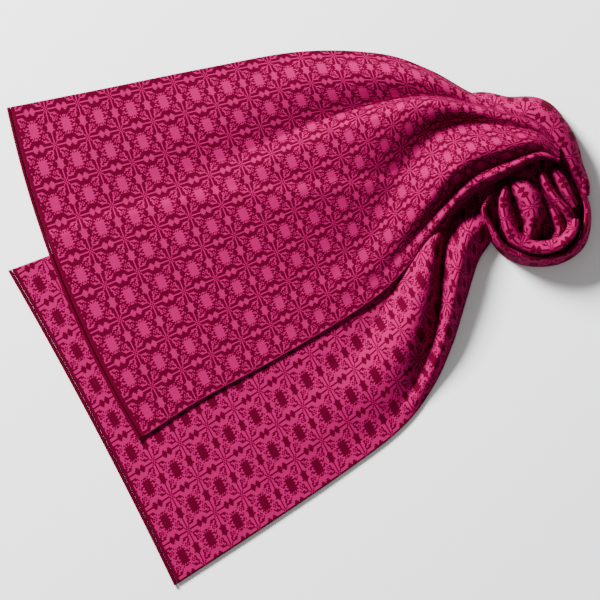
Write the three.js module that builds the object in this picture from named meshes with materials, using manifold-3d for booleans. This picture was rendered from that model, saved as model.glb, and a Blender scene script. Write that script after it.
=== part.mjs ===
// A knitted scarf laid out on a table: the two end panels lie on each other, fan out to the left and are
// gathered at the right, where the middle of the scarf is folded into a loose rosette.
// Millimetres. +X runs along the scarf to the rosette, +Y across it, +Z up off the table.
import * as THREE from 'three';
import { mergeVertices } from 'three/addons/utils/BufferGeometryUtils.js';
import Module from 'manifold-3d';

const wasm = await Module();
wasm.setup();

// ---- Driving sizes -------------------------------------------------------------------------------------
const CLOTH = 2;          // thickness of the double-faced knit
const GAP = 0.35;         // clearance between pieces that lie on each other
const HEM_WIDTH = 3;      // knitted edge along each end, measured along the scarf
const HEM_HEIGHT = 2.6;
const FLOOR_LEVEL = CLOTH / 2;                 // middle of cloth that lies on the table
const SECOND_LEVEL = CLOTH + GAP + CLOTH / 2;  // middle of cloth that lies on one other layer
const SEAT_FADE = 12;     // how far before the lower panel's edge the upper panel starts to rise
const TRIM_GROWTH = 0.4;  // how much a piece is grown when it trims the one under it
const SMALLEST = 0.08;    // slivers below this are merged after a trim
const STEPS = { panel: 18, upperAcross: 32, underAcross: 24, fold: 10, foldAround: 6, mound: 9, moundAcross: 8 };

// ---- Cloth colours -------------------------------------------------------------------------------------
const obverse = new THREE.MeshStandardMaterial({ color: '#b5376f', roughness: 0.9, metalness: 0 });
const reverse = new THREE.MeshStandardMaterial({ color: '#8c1448', roughness: 0.9, metalness: 0 });
const edging = new THREE.MeshStandardMaterial({ color: '#6e0535', roughness: 0.9, metalness: 0 });

// ---- Sections of the two end panels --------------------------------------------------------------------
// One row for each section from the end of the scarf to the neck. lowX, lowY and topX, topY are where its
// lower and upper edges lie; lowZ and topZ how high, above the layer it rests on; crown lifts the middle
// over the hidden layers; bow moves the middle of the section towards the end.
const COLUMNS = ['lowX', 'lowY', 'topX', 'topY', 'lowZ', 'topZ', 'crown', 'bow'];
const UPPER_SECTIONS = table(COLUMNS, [
  [-133, -103, -245, 178, 0, 0, 0, 13],
  [-85, -72, -169, 193, 0, 0, 0, 5],
  [-10, -31, -80, 211, 0, 0, 0, 0],
  [65, 16, 1, 225, 2, 0, 2, 0],
  [103, 55, 69, 223, 8, 0, 6, 0],
  [126, 82, 111, 209, 15, 0, 12, 0],
  [145, 102, 145, 190, 21, 1, 15, 0],
  [173, 118, 175, 177, 31, 16, 10, 0],
  [201, 132, 201, 164, 35, 25, 5, 0],
  [219, 130, 219, 142, 33, 30, 1, 0],
]);
const UNDER_SECTIONS = table(COLUMNS, [
  [-103, -227, -244, 40, 0, 0, 0, -3],
  [-31, -180, -169, 67, 0, 0, 0, -2],
  [35, -135, -93, 86, 0, 0, 0, 0],
  [86, -96, -25, 91, 0, 0, 0, 0],
  [113, -61, 31, 95, 0, 0, 0, 0],
  [130, -24, 73, 99, 0, 0, 0, 0],
  [142, 14, 103, 106, 0, 0, 0, 0],
  [152, 46, 124, 109, 1, 0, 0, 0],
  [162, 62, 137, 108, 3, 0, 0, 0],
  [171, 78, 152, 106, 5, 0, 0, 0],
]);

// ---- Folds of the panels -------------------------------------------------------------------------------
// Each fold line runs through all ten sections. at is its place across the section, from 0 at the lower
// edge to 1 at the upper one, and lift its height above the base. sharp makes a valley narrow.
const UPPER_FOLDS = [
  { at: [0, 0, 0, 0, 0, 0, 0, 0, 0, 0], lift: [0, 0, 0, 0, 0, 0, 0, 0, 0, 0], sharp: 1.6 },
  { at: [0.03, 0.03, 0.03, 0.03, 0.04, 0.06, 0.09, 0.1, 0.1, 0.1], lift: [0, 0, 0, 0, 1, 4, 6, 5, 3, 1] },
  { at: [0.06, 0.06, 0.06, 0.06, 0.08, 0.12, 0.17, 0.2, 0.2, 0.2], lift: [0, 0, 0, 0, 0, 0, 1, 1, 0, 0], sharp: 1.4 },
  { at: [0.1, 0.1, 0.1, 0.12, 0.18, 0.27, 0.37, 0.42, 0.45, 0.45], lift: [0, 0, 0, 1, 5, 10, 11, 8, 4, 1] },
  { at: [0.16, 0.16, 0.16, 0.2, 0.4, 0.56, 0.68, 0.7, 0.7, 0.7], lift: [0, 0, 0, 0, 0, 1, 2, 2, 1, 0], sharp: 1.8 },
  { at: [0.5, 0.55, 0.6, 0.64, 0.69, 0.76, 0.83, 0.85, 0.85, 0.85], lift: [0, 0.6, 3, 8, 12, 14, 13, 8, 4, 1] },
  { at: [0.69, 0.69, 0.69, 0.72, 0.76, 0.82, 0.885, 0.9, 0.9, 0.9], lift: [0, 0, 0, 0, 1, 3, 5, 5, 3, 1], sharp: 1.3 },
  { at: [0.85, 0.85, 0.85, 0.87, 0.89, 0.92, 0.95, 0.96, 0.96, 0.96], lift: [0, 0.4, 2, 5, 8, 9, 8, 6, 3, 1] },
  { at: [1, 1, 1, 1, 1, 1, 1, 1, 1, 1], lift: [0, 0, 0, 0, 0, 0, 0, 0, 0, 0], sharp: 1.6 },
];
const UNDER_FOLDS = [
  { at: [0, 0, 0, 0, 0, 0, 0, 0, 0, 0], lift: [0, 0, 0, 0, 0, 0, 0, 0, 0, 0], sharp: 1.5 },
  { at: [0.03, 0.03, 0.03, 0.03, 0.05, 0.1, 0.22, 0.33, 0.35, 0.35], lift: [0, 0, 0, 0, 4, 10, 14, 13, 10, 7] },
  { at: [0.06, 0.06, 0.06, 0.06, 0.1, 0.2, 0.48, 0.66, 0.7, 0.7], lift: [0, 0, 0, 0, 0, 1, 1, 1, 1, 1], sharp: 1.3 },
  { at: [0.2, 0.2, 0.2, 0.22, 0.28, 0.42, 0.62, 0.8, 0.85, 0.85], lift: [0, 0, 1, 4, 10, 13, 9, 5, 3, 1] },
  { at: [0.34, 0.34, 0.34, 0.36, 0.47, 0.66, 0.8, 0.9, 0.93, 0.93], lift: [0, 0, 0, 0, 0, 0, 0, 0, 0, 0], sharp: 1.4 },
  { at: [1, 1, 1, 1, 1, 1, 1, 1, 1, 1], lift: [0, 0, 0, 0, 0, 0, 0, 0, 0, 0], sharp: 1.6 },
];

// ---- Folds of the rosette ------------------------------------------------------------------------------
// One row for each section along the crest of a fold: where the crest lies and how high, how far the cloth
// spreads to the left and right of it, and how far it falls there.
const FOLD_COLUMNS = ['x', 'y', 'top', 'left', 'right', 'fallLeft', 'fallRight'];
const ROSETTE = {
  shoulder_wrap: table(FOLD_COLUMNS, [
    [152, 178, 14, 10, 6, 11, 3],
    [176, 172, 24, 14, 8, 20, 4],
    [200, 168, 30, 17, 10, 26, 6],
    [214, 156, 32, 15, 10, 29, 8],
    [224, 142, 31, 13, 8, 29, 10],
    [232, 126, 28, 9, 5, 26, 10],
    [237, 113, 24, 8, 4, 20, 10],
  ]),
  outer_wrap: table(FOLD_COLUMNS, [
    [175, 116, 28, 1.4, 2, 4, 20],
    [156, 93, 27, 1.4, 2, 4, 24],
    [162, 77, 26, 1.4, 3, 4, 25],
    [171, 61, 26, 1.4, 4, 4, 25],
    [186, 52, 26, 1.4, 6, 4, 25],
    [204, 49, 27, 1.4, 6, 4, 26],
    [222, 52, 28, 1.4, 6, 4, 27],
    [236, 62, 28, 1.4, 6, 4, 27],
    [242, 76, 28, 1.4, 5, 4, 27],
    [243, 92, 26, 1.4, 4, 4, 25],
    [240, 104, 22, 1.4, 3, 4, 20],
  ]),
  cup_roll: table(FOLD_COLUMNS, [
    [174, 110, 33, 4, 2, 8, 12],
    [171, 96, 34, 9, 2, 18, 16],
    [174, 78, 34, 11, 2, 20, 18],
    [180, 64, 34, 11, 2, 20, 18],
    [192, 57, 33, 10, 2, 18, 18],
    [208, 55, 33, 9, 2, 14, 18],
    [222, 60, 33, 8, 2, 14, 18],
    [232, 71, 33, 7, 2, 14, 18],
    [234, 82, 33, 6, 2, 14, 16],
  ]),
  centre_fold: table(FOLD_COLUMNS, [
    [179, 113, 31, 6, 4, 8, 10],
    [187, 105, 37, 11, 7, 12, 20],
    [193, 96, 39, 13, 8, 20, 24],
    [197, 86, 38, 12, 9, 24, 24],
    [196, 75, 33, 8, 6, 22, 20],
    [194, 65, 26, 6, 5, 14, 12],
  ]),
  ridge_fold: table(FOLD_COLUMNS, [
    [204, 122, 30, 3, 3, 10, 10],
    [209, 110, 34, 4, 3, 16, 14],
    [217, 98, 35, 4, 3, 16, 16],
    [226, 88, 34, 4, 3, 14, 14],
    [231, 80, 30, 2, 3, 8, 10],
  ]),
  upper_fold: table(FOLD_COLUMNS, [
    [214, 124, 28, 4, 3, 10, 12],
    [221, 114, 31, 5, 4, 12, 14],
    [227, 103, 31, 4, 4, 12, 14],
    [233, 93, 27, 3, 3, 10, 12],
  ]),
  inner_fold: table(FOLD_COLUMNS, [
    [212, 94, 27, 3, 3, 10, 10],
    [217, 84, 28, 5, 4, 12, 14],
    [220, 73, 27, 5, 4, 12, 14],
    [216, 64, 24, 4, 4, 10, 10],
  ]),
  side_fold: table(FOLD_COLUMNS, [
    [233, 122, 22, 4, 4, 14, 10],
    [241, 114, 24, 4, 4, 18, 10],
    [243, 104, 20, 3, 4, 16, 10],
  ]),
};

// ---- Hidden layers -------------------------------------------------------------------------------------
// The cloth folded away under the neck and the rosette, as one rounded mound. Each row has its two sides
// and its height.
const MOUND_COLUMNS = ['lowX', 'lowY', 'topX', 'topY', 'rise'];
const MOUND = table(MOUND_COLUMNS, [
  [95, 72, 66, 190, 4],
  [120, 92, 108, 188, 13],
  [143, 98, 140, 178, 20],
  [166, 72, 172, 170, 22],
  [190, 58, 203, 164, 22],
  [222, 62, 226, 138, 20],
  [236, 84, 236, 112, 12],
]);
const MOUND_ROUNDNESS = 2.6;

// ---- Tables and curves ---------------------------------------------------------------------------------
function table(columns, rows) {
  return rows.map((row) => Object.fromEntries(columns.map((name, i) => [name, row[i]])));
}

// The value at t (0 to 1) of a smooth curve through evenly spaced values.
function through(values, t) {
  const place = t * (values.length - 1);
  const i = Math.min(Math.floor(place), values.length - 2);
  const f = place - i;
  const b = values[i];
  const c = values[i + 1];
  const a = values[i - 1] ?? 2 * b - c;
  const d = values[i + 2] ?? 2 * c - b;
  const curve = 3 * (b - c) + d - a;
  return b + 0.5 * f * (c - a + f * (2 * a - 5 * b + 4 * c - d + f * curve));
}

// The row at t of a smooth blend of a table's rows.
function rowAt(rows, t) {
  const names = Object.keys(rows[0]);
  return Object.fromEntries(names.map((name) => [name, through(rows.map((row) => row[name]), t)]));
}

function smoothstep(x) {
  const t = Math.min(Math.max(x, 0), 1);
  return t * t * (3 - 2 * t);
}

// ---- Panels --------------------------------------------------------------------------------------------
// Height of the folds at place f across the section at t: round over a crest, narrower in a valley.
function foldHeight(folds, t, f) {
  const lines = folds.map((fold) => ({
    at: through(fold.at, t),
    lift: Math.max(through(fold.lift, t), 0),
    sharp: fold.sharp,
  }));
  const next = Math.max(lines.findIndex((line) => line.at >= f - 1e-9), 1);
  const [a, b] = [lines[next - 1], lines[next]];
  const share = Math.min(Math.max((f - a.at) / Math.max(b.at - a.at, 1e-6), 0), 1);
  const [valley, crest, up] = a.sharp ? [a, b, share] : [b, a, 1 - share];
  return valley.lift + (crest.lift - valley.lift) * Math.sin((Math.PI / 2) * up) ** valley.sharp;
}

// How high the layer under the upper panel is at (x, y): the lower panel's thickness inside its edge.
function seatHeight(x, y) {
  const edge = UNDER_SECTIONS.map((row) => [row.topX, row.topY]);
  const i = Math.max(edge.findIndex(([edgeX]) => edgeX > x), 1);
  const [[x0, y0], [x1, y1]] = [edge[i - 1], edge[i]];
  const inside = y0 + ((y1 - y0) * (x - x0)) / (x1 - x0) - y;
  return (SECOND_LEVEL - FLOOR_LEVEL) * smoothstep((inside + 2 * SEAT_FADE) / SEAT_FADE);
}

// A point of a panel's middle surface, t along the scarf and f across it.
function panelPoint(sections, folds, seat, t, f) {
  const row = rowAt(sections, t);
  const low = new THREE.Vector2(row.lowX, row.lowY);
  const top = new THREE.Vector2(row.topX, row.topY);
  const outward = new THREE.Vector2(low.y - top.y, top.x - low.x).normalize();
  const arch = 4 * f * (1 - f);
  const at = low.lerp(top, f).addScaledVector(outward, row.bow * arch);
  const base = row.lowZ + (row.topZ - row.lowZ) * f + row.crown * arch;
  return new THREE.Vector3(at.x, at.y, FLOOR_LEVEL + seat(at.x, at.y) + base + foldHeight(folds, t, f));
}

function panelGrid(sections, folds, seat, across) {
  return grid(STEPS.panel, across, (u, v) => panelPoint(sections, folds, seat, u, v));
}

// ---- Rosette folds -------------------------------------------------------------------------------------
// An arch of cloth that follows a crest line, spreading and falling to its left and right.
function foldGrid(rows) {
  return grid(STEPS.fold, STEPS.foldAround, (u, v) => {
    const row = rowAt(rows, u);
    const ahead = rowAt(rows, Math.min(u + 0.01, 1));
    const behind = rowAt(rows, Math.max(u - 0.01, 0));
    const along = new THREE.Vector2(ahead.x - behind.x, ahead.y - behind.y).normalize();
    const turn = Math.PI * (v - 0.5);
    const [spread, fall] = turn > 0 ? [row.left, row.fallLeft] : [row.right, row.fallRight];
    const side = spread * Math.sin(turn);
    const z = row.top - fall * (1 - Math.cos(turn));
    return new THREE.Vector3(row.x - along.y * side, row.y + along.x * side, Math.max(z, FLOOR_LEVEL));
  });
}

// ---- Solids --------------------------------------------------------------------------------------------
function grid(steps, across, point) {
  return Array.from({ length: steps + 1 }, (_, i) =>
    Array.from({ length: across + 1 }, (_, j) => point(i / steps, j / across)));
}

// A closed solid between two grids of points, the first one's faces pointing out.
function between(upper, lower) {
  const rows = upper.length;
  const columns = upper[0].length;
  const points = [...upper.flat(), ...lower.flat()];
  const half = rows * columns;
  const faces = [];
  const quad = (a, b, c, d) => faces.push(a, b, c, a, c, d);
  for (let i = 0; i < rows - 1; i++) {
    for (let j = 0; j < columns - 1; j++) {
      const [a, b, c, d] = [i * columns + j, (i + 1) * columns + j, (i + 1) * columns + j + 1, i * columns + j + 1];
      quad(a, b, c, d);
      quad(half + a, half + d, half + c, half + b);
    }
  }
  for (let i = 0; i < rows - 1; i++) {
    const [a, b] = [i * columns, (i + 1) * columns];
    const [c, d] = [a + columns - 1, b + columns - 1];
    quad(a, half + a, half + b, b);
    quad(c, d, half + d, half + c);
  }
  for (let j = 0; j < columns - 1; j++) {
    const last = (rows - 1) * columns + j;
    quad(j, j + 1, half + j + 1, half + j);
    quad(last, half + last, half + last + 1, last + 1);
  }
  const geometry = new THREE.BufferGeometry();
  geometry.setAttribute('position', new THREE.Float32BufferAttribute(points.flatMap((p) => [p.x, p.y, p.z]), 3));
  geometry.setIndex(faces);
  return geometry;
}

function normalAt(points, i, j) {
  const last = points.length - 1;
  const end = points[0].length - 1;
  const along = points[Math.min(i + 1, last)][j].clone().sub(points[Math.max(i - 1, 0)][j]);
  const over = points[i][Math.min(j + 1, end)].clone().sub(points[i][Math.max(j - 1, 0)]);
  return along.cross(over).normalize();
}

// The grid with its border moved outwards along the surface.
function widened(points, by) {
  const last = points.length - 1;
  const end = points[0].length - 1;
  const moved = points.map((row) => row.map((p) => p.clone()));
  const push = (p, from) => p.addScaledVector(p.clone().sub(from).normalize(), by);
  for (let j = 0; j <= end; j++) {
    push(moved[0][j], points[1][j]);
    push(moved[last][j], points[last - 1][j]);
  }
  for (let i = 0; i <= last; i++) {
    push(moved[i][0], points[i][1]);
    push(moved[i][end], points[i][end - 1]);
  }
  return moved;
}

// A cloth wall, half of its thickness on each side of the grid.
function wall(points, thickness = CLOTH) {
  const side = (sign) => points.map((row, i) =>
    row.map((p, j) => p.clone().addScaledVector(normalAt(points, i, j), (sign * thickness) / 2)));
  return between(side(1), side(-1));
}

function grownWall(points) {
  return wall(widened(points, TRIM_GROWTH), CLOTH + 2 * TRIM_GROWTH);
}

function mound() {
  const lifted = grid(STEPS.mound, STEPS.moundAcross, (u, v) => {
    const row = rowAt(MOUND, u);
    const round = 1 - Math.abs(2 * v - 1) ** MOUND_ROUNDNESS;
    const z = CLOTH / 2 + row.rise * round * Math.sin(Math.PI * Math.min(Math.max(u, 0.08), 0.92)) ** 0.4;
    return new THREE.Vector3(row.lowX, row.lowY, z).lerp(new THREE.Vector3(row.topX, row.topY, z), v);
  });
  return between(lifted, lifted.map((row) => row.map((p) => new THREE.Vector3(p.x, p.y, 0))));
}

// A knitted edge along the end of a panel: a flat-bottomed bar that follows the panel's first section.
function hem(sections, seat) {
  const along = grid(STEPS.underAcross, 1, (v, side) => {
    const edge = panelPoint(sections, [{ at: [0, 0], lift: [0, 0], sharp: 1 }, { at: [1, 1], lift: [0, 0] }],
      seat, 0, v);
    const inner = panelPoint(sections, [{ at: [0, 0], lift: [0, 0], sharp: 1 }, { at: [1, 1], lift: [0, 0] }],
      seat, 0.02, v);
    const outward = edge.clone().sub(inner).setZ(0).normalize();
    return edge.addScaledVector(outward, GAP + HEM_WIDTH * side);
  });
  const level = (points, z) => points.map((row) => row.map((p) => p.clone().setZ(p.z + z)));
  return between(level(along, HEM_HEIGHT - CLOTH / 2), level(along, -CLOTH / 2));
}

function toSolid(geometry) {
  const merged = mergeVertices(geometry, 1e-4);
  return new wasm.Manifold(new wasm.Mesh({
    numProp: 3,
    vertProperties: new Float32Array(merged.attributes.position.array),
    triVerts: new Uint32Array(merged.index.array),
  }));
}

function toGeometry(solid) {
  const mesh = solid.getMesh();
  const geometry = new THREE.BufferGeometry();
  geometry.setAttribute('position', new THREE.BufferAttribute(new Float32Array(mesh.vertProperties), 3));
  geometry.setIndex(new THREE.BufferAttribute(new Uint32Array(mesh.triVerts), 1));
  return geometry;
}

// The piece with everything that lies over it cut away, and only its largest remaining body kept.
function trimmed(geometry, others) {
  const cut = others.reduce((solid, other) => solid.subtract(other), toSolid(geometry));
  const bodies = cut.simplify(SMALLEST).decompose().sort((a, b) => b.volume() - a.volume());
  return toGeometry(bodies[0]);
}

// ---- Assembly ------------------------------------------------------------------------------------------
const scarf = new THREE.Group();

function add(name, geometry, material) {
  const mesh = new THREE.Mesh(geometry, material);
  mesh.name = name;
  scarf.add(mesh);
}

const onFloor = () => 0;
const upperGrid = panelGrid(UPPER_SECTIONS, UPPER_FOLDS, seatHeight, STEPS.upperAcross);
const underGrid = panelGrid(UNDER_SECTIONS, UNDER_FOLDS, onFloor, STEPS.underAcross);
const laidOver = [toSolid(grownWall(upperGrid))];

add('panel_top', wall(upperGrid), obverse);
add('hem_top', hem(UPPER_SECTIONS, seatHeight), edging);
for (const [name, rows] of Object.entries(ROSETTE)) {
  const points = foldGrid(rows);
  add(name, trimmed(wall(points), laidOver), reverse);
  laidOver.push(toSolid(grownWall(points)));
}
add('panel_under', trimmed(wall(underGrid), laidOver), reverse);
add('hem_under', hem(UNDER_SECTIONS, onFloor), edging);
laidOver.push(toSolid(grownWall(underGrid)));
add('hidden_layers', trimmed(mound(), laidOver), reverse);

export default scarf;
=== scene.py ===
# A fine-gauge knitted scarf laid out on a table: two end panels on each other, gathered at the right into
# a rosette. Metres; +X runs along the scarf to the rosette, +Z up off the table.
import math

import bpy
import numpy as np
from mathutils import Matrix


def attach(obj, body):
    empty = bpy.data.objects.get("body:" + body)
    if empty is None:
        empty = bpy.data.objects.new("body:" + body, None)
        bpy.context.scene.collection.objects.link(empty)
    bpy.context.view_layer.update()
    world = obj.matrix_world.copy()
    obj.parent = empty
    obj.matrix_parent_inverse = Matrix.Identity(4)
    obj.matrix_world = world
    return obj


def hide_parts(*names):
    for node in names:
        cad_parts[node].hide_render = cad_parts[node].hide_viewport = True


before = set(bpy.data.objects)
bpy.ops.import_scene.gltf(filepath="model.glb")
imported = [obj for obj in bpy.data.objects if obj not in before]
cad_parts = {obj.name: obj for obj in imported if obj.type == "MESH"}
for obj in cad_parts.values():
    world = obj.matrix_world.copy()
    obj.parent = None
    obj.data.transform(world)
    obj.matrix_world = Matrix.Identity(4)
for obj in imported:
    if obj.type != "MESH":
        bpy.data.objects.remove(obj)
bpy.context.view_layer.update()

MM = 0.001
TINY = 1e-9

# ---- Driving sizes, in millimetres ---------------------------------------------------------------------
CLOTH = 2.0  # thickness of the double-faced knit
GAP = 0.35
WIDTH = 303.0  # of the whole scarf, selvedge to selvedge
FLOOR_LEVEL = CLOTH / 2
SECOND_LEVEL = CLOTH + GAP + CLOTH / 2
SEAT_FADE = 12.0
HEM_RADIUS = 1.5
HEM_FLATNESS = 0.98  # height of the rolled edge over its width
WALES = 24  # stitches across one repeat of the pattern
COURSES = 28  # rows of stitches along it
REPEAT_ACROSS = 32.7
REPEAT_ALONG = 27.6
WALE = REPEAT_ACROSS / WALES
COURSE = REPEAT_ALONG / COURSES
HEM_COURSES = 3.0  # rows of dark yarn along each end
HEM_INSIDE = 0.02  # of the panel's length, to find which way is outwards from its end
EASE = 0.35  # share of the gathered width that the knit takes up evenly
PLEAT_WIDTH = 0.05  # of the section, over which the deep pleat swallows the rest
PLEAT_START = 0.3  # along the panel; nearer the end edge the knit takes up all of it
PLEAT_RUN = 0.3  # of the panel's length, over which the pleat forms

# ---- Sections of the two end panels --------------------------------------------------------------------
SECTION_COLUMNS = "low_x low_y top_x top_y low_z top_z crown bow".split()
UPPER_SECTIONS = [
    (-133, -103, -245, 178, 0, 0, 0, 13),
    (-85, -72, -169, 193, 0, 0, 0, 5),
    (-10, -31, -80, 211, 0, 0, 0, 0),
    (65, 16, 1, 225, 2, 0, 2, 0),
    (103, 55, 69, 223, 8, 0, 6, 0),
    (126, 82, 111, 209, 15, 0, 12, 0),
    (145, 102, 145, 190, 21, 1, 15, 0),
    (173, 118, 175, 177, 31, 16, 10, 0),
    (201, 132, 201, 164, 35, 25, 5, 0),
    (219, 130, 219, 142, 33, 30, 1, 0),
]
UNDER_SECTIONS = [
    (-103, -227, -244, 40, 0, 0, 0, -3),
    (-31, -180, -169, 67, 0, 0, 0, -2),
    (35, -135, -93, 86, 0, 0, 0, 0),
    (86, -96, -25, 91, 0, 0, 0, 0),
    (113, -61, 31, 95, 0, 0, 0, 0),
    (130, -24, 73, 99, 0, 0, 0, 0),
    (142, 14, 103, 106, 0, 0, 0, 0),
    (152, 46, 124, 109, 1, 0, 0, 0),
    (162, 62, 137, 108, 3, 0, 0, 0),
    (171, 78, 152, 106, 5, 0, 0, 0),
]

# ---- Folds of the panels -------------------------------------------------------------------------------
# Valley and crest lines in turn. Each has its place across every section, from 0 at the lower edge to 1 at
# the upper one, and its height there. A valley also has how sharp it is: 1 is a crease, 2 a soft trough.
STATIONS = len(UPPER_SECTIONS)
LOWER_EDGE = (0,) * STATIONS
UPPER_EDGE = (1,) * STATIONS
FLAT = (0,) * STATIONS
UPPER_FOLDS = [
    (LOWER_EDGE, FLAT, 1.6),
    ((0.03, 0.03, 0.03, 0.03, 0.04, 0.06, 0.09, 0.1, 0.1, 0.1), (0, 0, 0, 0, 1, 4, 6, 5, 3, 1), None),
    ((0.06, 0.06, 0.06, 0.06, 0.08, 0.12, 0.17, 0.2, 0.2, 0.2), (0, 0, 0, 0, 0, 0, 1, 1, 0, 0), 1.4),
    ((0.1, 0.1, 0.1, 0.12, 0.18, 0.27, 0.37, 0.42, 0.45, 0.45), (0, 0, 0, 1, 5, 10, 11, 8, 4, 1), None),
    ((0.16, 0.16, 0.16, 0.2, 0.4, 0.56, 0.68, 0.7, 0.7, 0.7), (0, 0, 0, 0, 0, 1, 2, 2, 1, 0), 1.8),
    ((0.5, 0.55, 0.6, 0.64, 0.69, 0.76, 0.83, 0.85, 0.85, 0.85), (0, 0.6, 3, 8, 12, 14, 13, 8, 4, 1), None),
    ((0.69, 0.69, 0.69, 0.72, 0.76, 0.82, 0.885, 0.9, 0.9, 0.9), (0, 0, 0, 0, 1, 3, 5, 5, 3, 1), 1.3),
    ((0.85, 0.85, 0.85, 0.87, 0.89, 0.92, 0.95, 0.96, 0.96, 0.96), (0, 0.4, 2, 5, 8, 9, 8, 6, 3, 1), None),
    (UPPER_EDGE, FLAT, 1.6),
]
UNDER_FOLDS = [
    (LOWER_EDGE, FLAT, 1.5),
    ((0.03, 0.03, 0.03, 0.03, 0.05, 0.1, 0.22, 0.33, 0.35, 0.35), (0, 0, 0, 0, 4, 10, 14, 13, 10, 7), None),
    ((0.06, 0.06, 0.06, 0.06, 0.1, 0.2, 0.48, 0.66, 0.7, 0.7), (0, 0, 0, 0, 0, 1, 1, 1, 1, 1), 1.3),
    ((0.2, 0.2, 0.2, 0.22, 0.28, 0.42, 0.62, 0.8, 0.85, 0.85), (0, 0, 1, 4, 10, 13, 9, 5, 3, 1), None),
    ((0.34, 0.34, 0.34, 0.36, 0.47, 0.66, 0.8, 0.9, 0.93, 0.93), FLAT, 1.4),
    (UPPER_EDGE, FLAT, 1.6),
]
NO_FOLDS = [(LOWER_EDGE, FLAT, 1.0), (UPPER_EDGE, FLAT, None)]
FOLD_DEPTH = 1.6  # how much deeper the cloth's folds are than its plain solid's
UPPER_PLEAT = 6  # the valley of the upper panel that swallows its spare width

# ---- Folds of the rosette ------------------------------------------------------------------------------
FOLD_COLUMNS = "x y top left right fall_left fall_right".split()
ROSETTE = {
    "shoulder_wrap": [
        (140, 180, 6, 8, 5, 4, 3),
        (156, 178, 15, 12, 6, 13, 3),
        (176, 172, 24, 14, 8, 22, 4),
        (200, 168, 30, 17, 10, 26, 6),
        (214, 156, 32, 15, 10, 29, 8),
        (224, 142, 31, 13, 8, 29, 10),
        (232, 126, 28, 9, 5, 26, 12),
        (239, 112, 22, 7, 4, 20, 14),
        (241, 102, 12, 5, 3, 11, 9),
    ],
    "outer_wrap": [
        (175, 116, 28, 1.4, 2, 4, 20),
        (156, 93, 27, 1.4, 2, 4, 24),
        (162, 77, 26, 1.4, 3, 4, 25),
        (171, 61, 26, 1.4, 4, 4, 25),
        (186, 52, 26, 1.4, 6, 4, 25),
        (204, 49, 27, 1.4, 6, 4, 26),
        (222, 52, 28, 1.4, 6, 4, 27),
        (236, 62, 28, 1.4, 6, 4, 27),
        (242, 76, 28, 1.4, 5, 4, 27),
        (243, 92, 26, 1.4, 4, 4, 25),
        (240, 104, 22, 1.4, 3, 4, 20),
    ],
    "cup_roll": [
        (174, 110, 33, 4, 2, 8, 12),
        (171, 96, 34, 9, 2, 18, 16),
        (174, 78, 34, 11, 2, 20, 18),
        (180, 64, 34, 11, 2, 20, 18),
        (192, 57, 33, 10, 2, 18, 18),
        (208, 55, 33, 9, 2, 14, 18),
        (222, 60, 33, 8, 2, 14, 18),
        (232, 71, 33, 7, 2, 14, 18),
        (234, 82, 33, 6, 2, 14, 16),
    ],
    "centre_fold": [
        (179, 113, 31, 6, 4, 8, 10),
        (187, 105, 37, 11, 7, 12, 20),
        (193, 96, 39, 13, 8, 20, 24),
        (197, 86, 38, 12, 9, 24, 24),
        (196, 75, 33, 8, 6, 22, 20),
        (194, 65, 26, 6, 5, 14, 12),
    ],
    "ridge_fold": [
        (204, 122, 30, 3, 3, 10, 10),
        (209, 110, 34, 4, 3, 16, 14),
        (217, 98, 35, 4, 3, 16, 16),
        (226, 88, 34, 4, 3, 14, 14),
        (231, 80, 30, 2, 3, 8, 10),
    ],
    "upper_fold": [
        (214, 124, 28, 4, 3, 10, 12),
        (221, 114, 31, 5, 4, 12, 14),
        (227, 103, 31, 4, 4, 12, 14),
        (233, 93, 27, 3, 3, 10, 12),
    ],
    "inner_fold": [
        (212, 94, 27, 3, 3, 10, 10),
        (217, 84, 28, 5, 4, 12, 14),
        (220, 73, 27, 5, 4, 12, 14),
        (216, 64, 24, 4, 4, 10, 10),
    ],
    "side_fold": [
        (233, 122, 22, 4, 4, 14, 10),
        (241, 114, 24, 4, 4, 18, 10),
        (243, 104, 20, 3, 4, 16, 10),
    ],
}

STANDING = ("outer_wrap",)  # folds whose right side is a wall on its edge
WALL_FLARE = 0.8  # powers of the way down the wall, for how it leans out and how it falls
WALL_FALL = 1.3
LOOK_AHEAD = 0.01  # of a fold's length, to find which way its crest runs

# ---- Hidden layers -------------------------------------------------------------------------------------
MOUND_COLUMNS = "low_x low_y top_x top_y rise".split()
MOUND = [
    (95, 72, 66, 190, 4),
    (120, 92, 108, 188, 13),
    (143, 98, 140, 178, 20),
    (164, 68, 172, 170, 20),
    (186, 53, 203, 166, 20),
    (226, 53, 230, 142, 19),
    (242, 80, 240, 118, 15),
]
MOUND_ROUNDNESS = 2.6
MOUND_TAPER = 0.4  # power of the sine along the mound, small for blunt ends
MOUND_TIP = 0.03  # of its length, kept from closing to a point


# ---- Curves through tables -----------------------------------------------------------------------------
def through(values, t):
    """A smooth curve through evenly spaced values, read at every t from 0 to 1."""
    values = np.asarray(values, float)
    ends = 2 * values[0] - values[1], 2 * values[-1] - values[-2]
    padded = np.concatenate([[ends[0]], values, [ends[1]]])
    place = np.asarray(t, float) * (len(values) - 1)
    i = np.clip(np.floor(place).astype(int), 0, len(values) - 2)
    f = place - i
    a, b, c, d = (padded[i + k] for k in range(4))
    curve = 3 * (b - c) + d - a
    return b + 0.5 * f * (c - a + f * (2 * a - 5 * b + 4 * c - d + f * curve))


def columns_at(names, rows, t):
    return {name: through([row[i] for row in rows], t) for i, name in enumerate(names)}


def smoothstep(x):
    x = np.clip(x, 0, 1)
    return x * x * (3 - 2 * x)


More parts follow.
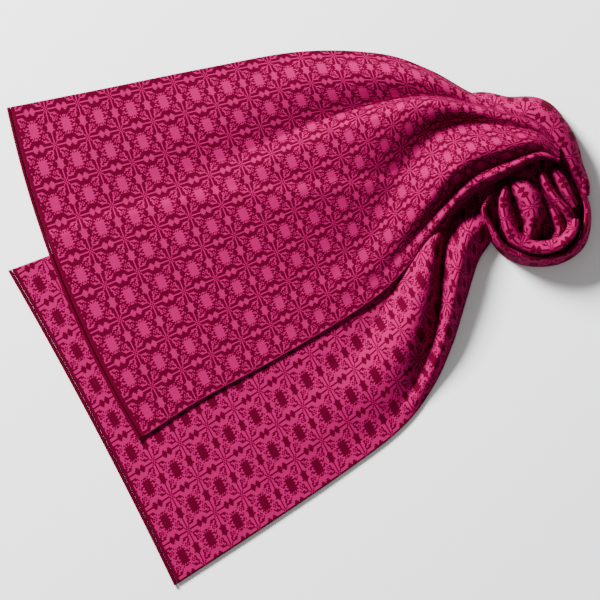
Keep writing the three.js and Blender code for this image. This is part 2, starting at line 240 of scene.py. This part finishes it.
# ---- Surfaces ------------------------------------------------------------------------------------------
def fold_height(folds, t, f):
    """Height of a panel's folds: round over each crest, narrower in each valley."""
    height = np.zeros_like(f)
    lines = []
    for at, lift, sharp in folds:
        lines.append((through(at, t), FOLD_DEPTH * np.maximum(through(lift, t), 0), sharp))
    for (at_a, lift_a, sharp_a), (at_b, lift_b, sharp_b) in zip(lines, lines[1:]):
        share = np.clip((f - at_a) / np.maximum(at_b - at_a, TINY), 0, 1)
        valley, crest, up, sharp = (
            (lift_a, lift_b, share, sharp_a) if sharp_a else (lift_b, lift_a, 1 - share, sharp_b)
        )
        here = (f >= at_a) & (f <= at_b)
        rise = valley + (crest - valley) * np.sin(np.pi / 2 * up) ** sharp
        height = np.where(here, rise, height)
    return height


def seat_height(x, y):
    """How far the upper panel is raised by the lower one, from just outside the lower one's edge."""
    edge = np.array([row[2:4] for row in UNDER_SECTIONS], float)
    inside = np.interp(x, edge[:, 0], edge[:, 1]) - y
    return (SECOND_LEVEL - FLOOR_LEVEL) * smoothstep((inside + 2 * SEAT_FADE) / SEAT_FADE)


def on_floor(x, y):
    return np.zeros_like(x)


def panel_points(sections, folds, seat, t, f):
    """Points of a panel's middle surface, t along the scarf and f across it."""
    row = columns_at(SECTION_COLUMNS, sections, t)
    over_x, over_y = row["top_x"] - row["low_x"], row["top_y"] - row["low_y"]
    length = np.hypot(over_x, over_y)
    arch = 4 * f * (1 - f)
    x = row["low_x"] + over_x * f - over_y / length * row["bow"] * arch
    y = row["low_y"] + over_y * f + over_x / length * row["bow"] * arch
    base = row["low_z"] + (row["top_z"] - row["low_z"]) * f + row["crown"] * arch
    z = FLOOR_LEVEL + seat(x, y) + base + fold_height(folds, t, f)
    return np.stack([x, y, z], -1)


def fold_points(rows, t, v, standing=False):
    """Points of an arch of cloth along a crest line, spreading and falling to its two sides. A standing fold
    is a wall on its edge: its right side goes down straight."""
    row = columns_at(FOLD_COLUMNS, rows, t)
    ahead = columns_at(FOLD_COLUMNS, rows, np.minimum(t + LOOK_AHEAD, 1))
    behind = columns_at(FOLD_COLUMNS, rows, np.maximum(t - LOOK_AHEAD, 0))
    along_x, along_y = ahead["x"] - behind["x"], ahead["y"] - behind["y"]
    length = np.hypot(along_x, along_y)
    turn = np.pi * (v - 0.5)
    spread = np.where(turn > 0, row["left"], row["right"])
    fall = np.where(turn > 0, row["fall_left"], row["fall_right"])
    side = spread * np.sin(turn)
    z = row["top"] - fall * (1 - np.cos(turn))
    if standing:
        down = np.maximum(-turn / (np.pi / 2), 0)
        side = np.where(turn < 0, -spread * down**WALL_FLARE, side)
        z = np.where(turn < 0, row["top"] - fall * down**WALL_FALL, z)
    z = np.maximum(z, FLOOR_LEVEL)
    return np.stack([row["x"] - along_y / length * side, row["y"] + along_x / length * side, z], -1)


def mesh_grid(steps, across):
    return np.meshgrid(np.linspace(0, 1, steps + 1), np.linspace(0, 1, across + 1), indexing="ij")


def normals(points):
    along, over = np.gradient(points, axis=0), np.gradient(points, axis=1)
    n = np.cross(along, over)
    return n / np.maximum(np.linalg.norm(n, axis=-1, keepdims=True), TINY)


def arc_across(points):
    step = np.linalg.norm(np.diff(points, axis=1), axis=-1)
    return np.concatenate([np.zeros((len(points), 1)), np.cumsum(step, axis=1)], axis=1)


def arc_along(points):
    return arc_across(points.transpose(1, 0, 2)).T


# ---- Meshes --------------------------------------------------------------------------------------------
def link(name, data):
    made = bpy.data.objects.new(name, data)
    bpy.context.scene.collection.objects.link(made)
    return made


def knit_object(name, verts, faces, place):
    """An object from points in millimetres. place is each point's place in the knit, in stitches and rows."""
    mesh = bpy.data.meshes.new(name)
    mesh.from_pydata((verts * MM).tolist(), [], faces)
    uv = mesh.uv_layers.new(name="knit")
    corners = np.empty(len(mesh.loops), dtype=np.int32)
    mesh.loops.foreach_get("vertex_index", corners)
    uv.data.foreach_set("uv", place[corners].astype(np.float32).ravel())
    mesh.polygons.foreach_set("use_smooth", [True] * len(mesh.polygons))
    mesh.update()
    return link(name, mesh)


def shell(name, points, along, across, reverse_up):
    """A closed shell of cloth round a grid of points. along and across are each point's place in the knit."""
    rows, columns = points.shape[:2]
    out = normals(points) * CLOTH / 2
    count = rows * columns
    verts = np.concatenate([(points + out).reshape(-1, 3), (points - out).reshape(-1, 3)])
    index = np.arange(count).reshape(rows, columns)
    a, b, c, d = index[:-1, :-1], index[1:, :-1], index[1:, 1:], index[:-1, 1:]
    upper = np.stack([a, b, c, d], -1).reshape(-1, 4)
    lower = np.stack([a, d, c, b], -1).reshape(-1, 4) + count
    rims = [
        rim_faces(index[:, 0], count, True),
        rim_faces(index[:, -1], count, False),
        rim_faces(index[0], count, False),
        rim_faces(index[-1], count, True),
    ]
    faces = np.concatenate([upper, lower, *rims])
    place = np.stack([across.reshape(-1) / WALE, along.reshape(-1) / COURSE], -1)
    piece = knit_object(name, verts, faces.tolist(), np.tile(place, (2, 1)))
    face_side = piece.data.attributes.new("reverse_side", "FLOAT", "POINT")
    sides = np.repeat([1.0, 0.0] if reverse_up else [0.0, 1.0], count)
    face_side.data.foreach_set("value", sides.astype(np.float32))
    return piece


def rim_faces(edge, count, forward):
    """Faces that close the shell along one edge, between its upper points and the lower ones."""
    a, b = edge[:-1], edge[1:]
    order = [a, a + count, b + count, b] if forward else [a, b, b + count, a + count]
    return np.stack(order, -1)


def cut_size(points):
    """Mean width and length of a piece of cloth, and its area, in metres."""
    width = arc_across(points)[:, -1].mean() * MM
    length = arc_along(points)[-1].mean() * MM
    along, over = np.diff(points, axis=0)[:, :-1], np.diff(points, axis=1)[:-1]
    area = np.linalg.norm(np.cross(along, over), axis=-1).sum() * MM * MM
    return width, length, area


# ---- Pattern -------------------------------------------------------------------------------------------
# One quarter of the repeat, from the middle of a rayed star (top left) to the middle of a plain one (bottom
# right). The other quarters mirror it. A dot is a stitch of light yarn on the upper face and of dark yarn on
# the other.
CHART = """
.#...........
#.#######....
.#.#######...
.##...####.##
.##.#....####
.##.##.#.####
.##..##.##.##
.##..#.#.##.#
.###.##.##..#
.####.####.##
..######.#.#.
...###.#.....
...####......
..####.#.....
.#####.......
"""


def light_stitches():
    """Each course of the chart as a number with one bit for each light stitch."""
    return [sum(1 << i for i, c in enumerate(line) if c == ".") for line in CHART.split()]


# ---- Materials -----------------------------------------------------------------------------------------
class Value:
    """A socket that can be used in arithmetic."""

    def __init__(self, tree, socket):
        self.tree, self.socket = tree, socket

    def math(self, operation, *others):
        return self.tree.node("ShaderNodeMath", {"operation": operation}, [self, *others])

    def __add__(self, other):
        return self.math("ADD", other)

    def __sub__(self, other):
        return self.math("SUBTRACT", other)

    def __mul__(self, other):
        return self.math("MULTIPLY", other)

    def __truediv__(self, other):
        return self.math("DIVIDE", other)

    def __radd__(self, other):
        return self + other

    def __rmul__(self, other):
        return self * other

    def __rsub__(self, other):
        return self.tree.node("ShaderNodeMath", {"operation": "SUBTRACT"}, [other, self])


class Tree:
    """The node tree of a material."""

    def __init__(self, name):
        self.material = bpy.data.materials.new(name)
        self.material.use_nodes = True
        self.nodes = self.material.node_tree.nodes
        self.links = self.material.node_tree.links
        self.shader = next(n for n in self.nodes if n.type == "BSDF_PRINCIPLED")

    def node(self, kind, settings=None, inputs=(), output=0):
        made = self.nodes.new(kind)
        for key, value in (settings or {}).items():
            setattr(made, key, value)
        pairs = inputs.items() if isinstance(inputs, dict) else enumerate(inputs)
        for key, value in pairs:
            self.set(made.inputs[key], value)
        return Value(self, made.outputs[output])

    def set(self, socket, value):
        if isinstance(value, Value):
            self.links.new(value.socket, socket)
        else:
            socket.default_value = value

    def mix_colours(self, share, first, second):
        sockets = {0: share, 6: first, 7: second}
        return self.node("ShaderNodeMix", {"data_type": "RGBA"}, sockets, output=2)


LIGHT_YARN = (0.3, 0.003, 0.077, 1)
DARK_YARN = (0.075, 0.0002, 0.012, 1)
PAINTED_SHADE_YARN = (0.06, 0.0002, 0.008, 1)  # painted shade in the grooves between the ribs of the rolled edge
GLOSS = 0.03
KNIT_ROUGHNESS = 0.88
EDGE_ROUGHNESS = 0.9
LEG_SLANT = 0.9  # of a row, that each leg of a V-shaped stitch rises to its side
ROUND_ALONG, ROUND_ACROSS = 0.6, 0.4  # shares of a leg's roundness
BLOTCH_SCALE = 22.0  # for each metre
FUZZ_SCALE = 1.9  # for each stitch
# Scales of the knit's colour: the legs' roundness paints shade on each stitch; fuzz and blotch are random
# tone of the yarn.
SHADE, LEG_PAINTED_SHADE, FUZZ_SHADE, BLOTCH_SHADE = 0.72, 0.22, 0.5, 0.16
FUZZ_HEIGHT = 0.4  # of a stitch's height
FLOAT_HEIGHT = 0.25  # by which the light yarn stands over the dark one
KNIT_BUMP, KNIT_RELIEF = 0.35, 0.0006
EDGE_BUMP, EDGE_RELIEF = 0.4, 0.0005


def charted(tree, wale, course):
    """1 where the chart has a light stitch and 0 elsewhere, read from the bits of its rows."""
    column = wale.math("FLOOR").math("FLOORED_MODULO", float(WALES))
    column = column.math("MINIMUM", WALES - column)
    row = course.math("FLOOR").math("FLOORED_MODULO", float(COURSES))
    row = row.math("MINIMUM", COURSES - row)
    stitches = None
    for number, mask in enumerate(light_stitches()):
        term = row.math("COMPARE", float(number), 0.5) * float(mask)
        stitches = term if stitches is None else stitches + term
    power = tree.node("ShaderNodeMath", {"operation": "POWER"}, [2.0, column])
    return (stitches / power).math("FLOOR").math("FLOORED_MODULO", 2.0)


def knit_material(name):
    """Double-faced jacquard: each stitch is one of two yarns, and the other face has them swapped."""
    tree = Tree(name)
    place = tree.node("ShaderNodeUVMap", {"uv_map": "knit"})
    parts = tree.node("ShaderNodeSeparateXYZ", inputs=[place])
    wale, course = parts, Value(tree, parts.socket.node.outputs[1])
    reverse = tree.node("ShaderNodeAttribute", {"attribute_name": "reverse_side"}, output=2)

    in_wale = wale.math("FRACT")
    from_middle = (in_wale - 0.5).math("ABSOLUTE")
    slanted = course - from_middle * LEG_SLANT
    in_course = slanted.math("FRACT")

    light = charted(tree, wale, slanted)
    reverse = reverse.math("GREATER_THAN", 0.5)
    light = (light - reverse).math("ABSOLUTE")
    edge = slanted.math("LESS_THAN", HEM_COURSES)
    light = light * (1 - edge)

    coordinates = tree.node("ShaderNodeTexCoord", output=3)
    blotch = tree.node("ShaderNodeTexNoise", inputs={0: coordinates, "Scale": BLOTCH_SCALE, "Detail": 3.0})
    fuzz = tree.node("ShaderNodeTexNoise", inputs={0: place, "Scale": FUZZ_SCALE, "Detail": 2.0})
    round_along = (in_course * math.pi).math("SINE")
    round_across = ((1 - from_middle * 2) * math.pi).math("SINE")
    leg = round_along * ROUND_ALONG + round_across * ROUND_ACROSS
    # Painted shade: each leg of a stitch is lighter along its middle and darker at its sides and where the
    # rows meet; fuzz and blotch add random tone.
    shade = SHADE + leg * LEG_PAINTED_SHADE + (fuzz - 0.5) * FUZZ_SHADE + (blotch - 0.5) * BLOTCH_SHADE
    colour = tree.mix_colours(light, DARK_YARN, LIGHT_YARN)
    shaded = tree.node("ShaderNodeVectorMath", {"operation": "SCALE"}, {0: colour, "Scale": shade})
    tree.set(tree.shader.inputs["Base Color"], shaded)
    tree.shader.inputs["Roughness"].default_value = KNIT_ROUGHNESS
    tree.shader.inputs["Specular IOR Level"].default_value = GLOSS
    height = leg + fuzz * FUZZ_HEIGHT + light * FLOAT_HEIGHT
    relief = {"Strength": KNIT_BUMP, "Distance": KNIT_RELIEF, "Height": height}
    bump = tree.node("ShaderNodeBump", inputs=relief)
    tree.set(tree.shader.inputs["Normal"], bump)
    return tree.material


def edge_material():
    """The rolled knitted edge, crimson with a fine rib, with painted shade in the grooves between the ribs.
    """
    tree = Tree("crimson_edge")
    place = tree.node("ShaderNodeUVMap", {"uv_map": "knit"})
    wale = tree.node("ShaderNodeSeparateXYZ", inputs=[place])
    rib = (wale * math.pi).math("SINE").math("ABSOLUTE")
    # Painted shade: the colour goes darker in the grooves between the ribs.
    colour = tree.mix_colours(rib, PAINTED_SHADE_YARN, DARK_YARN)
    tree.set(tree.shader.inputs["Base Color"], colour)
    tree.shader.inputs["Roughness"].default_value = EDGE_ROUGHNESS
    tree.shader.inputs["Specular IOR Level"].default_value = GLOSS
    bump = tree.node("ShaderNodeBump", inputs={"Strength": EDGE_BUMP, "Distance": EDGE_RELIEF, "Height": rib})
    tree.set(tree.shader.inputs["Normal"], bump)
    return tree.material


# ---- Pieces --------------------------------------------------------------------------------------------
knit = knit_material("jacquard_knit")
rolled = edge_material()


def finish(piece, node, material):
    """Gives a piece its finish, hangs it on the root body and hides the plain solid it stands for."""
    piece.data.materials.append(material)
    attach(piece, "root")
    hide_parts(node)


def make_panel(node, sections, folds, seat, steps, across_steps, reverse_up, pleat=None):
    """An end panel. Where it has a deep pleat, its spare width goes there and breaks the pattern."""
    t, f = mesh_grid(steps, across_steps)
    points = panel_points(sections, folds, seat, t, f)
    arc = arc_across(points)
    spare = np.maximum(WIDTH - arc[:, -1:], 0)
    across = arc
    if pleat is not None:
        swallowed = smoothstep((f - through(folds[pleat][0], t)) / PLEAT_WIDTH + 0.5)
        pleated = (1 - EASE) * smoothstep((t - PLEAT_START) / PLEAT_RUN)
        across = arc + spare * ((1 - pleated) * f + pleated * swallowed)
    ends = arc_along(points)
    along = ends[:, :1] * (1 - f) + ends[:, -1:] * f
    piece = shell(node + "_knit", points, along, across, reverse_up)
    finish(piece, node, knit)
    return piece, cut_size(points)


def make_fold(node, rows, steps=60, around=28):
    """A fold of the rosette, reverse side out, with the pattern running along its crest."""
    t, v = mesh_grid(steps, around)
    points = fold_points(rows, t, v, node in STANDING)
    middle = points.shape[1] // 2
    crest = np.concatenate([[0], np.cumsum(np.linalg.norm(np.diff(points[:, middle], axis=0), axis=-1))])
    along = np.repeat(crest[:, None], around + 1, axis=1)
    arc = arc_across(points)
    across = arc - arc[:, middle : middle + 1]
    piece = shell(node + "_knit", points, along, across, True)
    finish(piece, node, knit)
    return piece, cut_size(points)


def make_hem(node, sections, seat, across_steps=160, around=10):
    """A rolled edge: a round cord of knit pressed against the end of the panel."""
    f = np.linspace(0, 1, across_steps + 1)
    edge = panel_points(sections, NO_FOLDS, seat, np.zeros_like(f), f)
    inner = panel_points(sections, NO_FOLDS, seat, np.full_like(f, HEM_INSIDE), f)
    outward = edge - inner
    outward[:, 2] = 0
    outward /= np.linalg.norm(outward, axis=1, keepdims=True)
    centre = edge + outward * (GAP + HEM_RADIUS)
    centre[:, 2] += HEM_RADIUS - CLOTH / 2
    turn = np.linspace(0, 2 * np.pi, around, endpoint=False)
    ring = centre[:, None] + outward[:, None] * (np.cos(turn) * HEM_RADIUS)[None, :, None]
    ring = ring + np.array([0, 0, 1.0]) * (np.sin(turn) * HEM_RADIUS * HEM_FLATNESS)[None, :, None]
    count = len(f)
    index = np.arange(count * around).reshape(count, around)
    a, b = index[:-1], index[1:]
    sides = np.stack([a, np.roll(a, -1, 1), np.roll(b, -1, 1), b], -1).reshape(-1, 4)
    faces = sides.tolist() + [index[0][::-1].tolist(), index[-1].tolist()]
    length = np.concatenate([[0], np.cumsum(np.linalg.norm(np.diff(centre, axis=0), axis=1))])
    place = np.stack([np.repeat(length / WALE, around), np.tile(turn, count)], -1)
    piece = knit_object(node + "_roll", ring.reshape(-1, 3), faces, place)
    finish(piece, node, rolled)
    return piece


def make_mound(steps=60, across_steps=40):
    """The layers folded away under the neck and the rosette."""
    t, v = mesh_grid(steps, across_steps)
    row = columns_at(MOUND_COLUMNS, MOUND, t)
    ends = np.sin(np.pi * np.clip(t, MOUND_TIP, 1 - MOUND_TIP)) ** MOUND_TAPER
    z = FLOOR_LEVEL + row["rise"] * (1 - np.abs(2 * v - 1) ** MOUND_ROUNDNESS) * ends
    x = row["low_x"] + (row["top_x"] - row["low_x"]) * v
    y = row["low_y"] + (row["top_y"] - row["low_y"]) * v
    points = np.stack([x, y, z], -1)
    piece = shell("hidden_layers_knit", points, arc_along(points), arc_across(points), True)
    finish(piece, "hidden_layers", knit)
    return piece, cut_size(points)


def declare(size):
    """Works out the smaller of a piece's area and its width times its length, and keeps nothing."""
    width, length, area = size
    min(area, width * length)


under, under_size = make_panel(
    "panel_under", UNDER_SECTIONS, UNDER_FOLDS, on_floor, 200, 200, True
)
upper, upper_size = make_panel(
    "panel_top", UPPER_SECTIONS, UPPER_FOLDS, seat_height, 220, 210, False, UPPER_PLEAT
)
hem_under = make_hem("hem_under", UNDER_SECTIONS, on_floor)
hem_top = make_hem("hem_top", UPPER_SECTIONS, seat_height)
mound, mound_size = make_mound()
rosette = [make_fold(node, rows) for node, rows in ROSETTE.items()]

declare(under_size)
declare(upper_size)
declare(mound_size)
for piece, size in rosette:
    declare(size)


# ---- Stage ---------------------------------------------------------------------------------------------
VIEW_WIDTH = 0.51  # metres, as is all that follows
VIEW_HEIGHT = 3.0
VIEW_CENTRE = (0.001, 0.014)
SENSOR = 36
PAPER = (0.97, 0.97, 0.97, 1)
PAPER_ROUGHNESS = 0.95
FLOOR_REACH = 6.0
FLOOR_DROP = 0.0005
SKY_STRENGTH = 0.32
KEY_PLACE = (-1.7, 1.9, 1.6)
KEY_AIM = (0.05, 0.05, 0)
KEY_SIZE = 0.9
KEY_WATTS = 440


def make_camera():
    data = bpy.data.cameras.new("camera")
    data.sensor_width = SENSOR
    data.lens = SENSOR * VIEW_HEIGHT / VIEW_WIDTH
    camera = link("camera", data)
    camera.location = (*VIEW_CENTRE, VIEW_HEIGHT)
    bpy.context.scene.camera = camera


def make_floor():
    mesh = bpy.data.meshes.new("floor")
    r = FLOOR_REACH
    corners = [(x, y, -FLOOR_DROP) for x, y in ((-r, -r), (r, -r), (r, r), (-r, r))]
    mesh.from_pydata(corners, [], [(0, 1, 2, 3)])
    tree = Tree("pale_paper")
    tree.shader.inputs["Base Color"].default_value = PAPER
    tree.shader.inputs["Roughness"].default_value = PAPER_ROUGHNESS
    mesh.materials.append(tree.material)
    link("floor", mesh)


def make_lights():
    world = bpy.data.worlds.new("studio")
    world.use_nodes = True
    sky = world.node_tree.nodes["Background"]
    sky.inputs["Color"].default_value = (1, 1, 1, 1)
    sky.inputs["Strength"].default_value = SKY_STRENGTH
    bpy.context.scene.world = world
    data = bpy.data.lights.new("key", "AREA")
    data.size = KEY_SIZE
    data.energy = KEY_WATTS
    lamp = link("key", data)
    lamp.location = KEY_PLACE
    aim = np.array(KEY_AIM) - np.array(KEY_PLACE)
    pitch = math.acos(-aim[2] / np.linalg.norm(aim))
    lamp.rotation_euler = (pitch, 0, math.atan2(aim[1], aim[0]) - math.pi / 2)


make_camera()
make_floor()
make_lights()
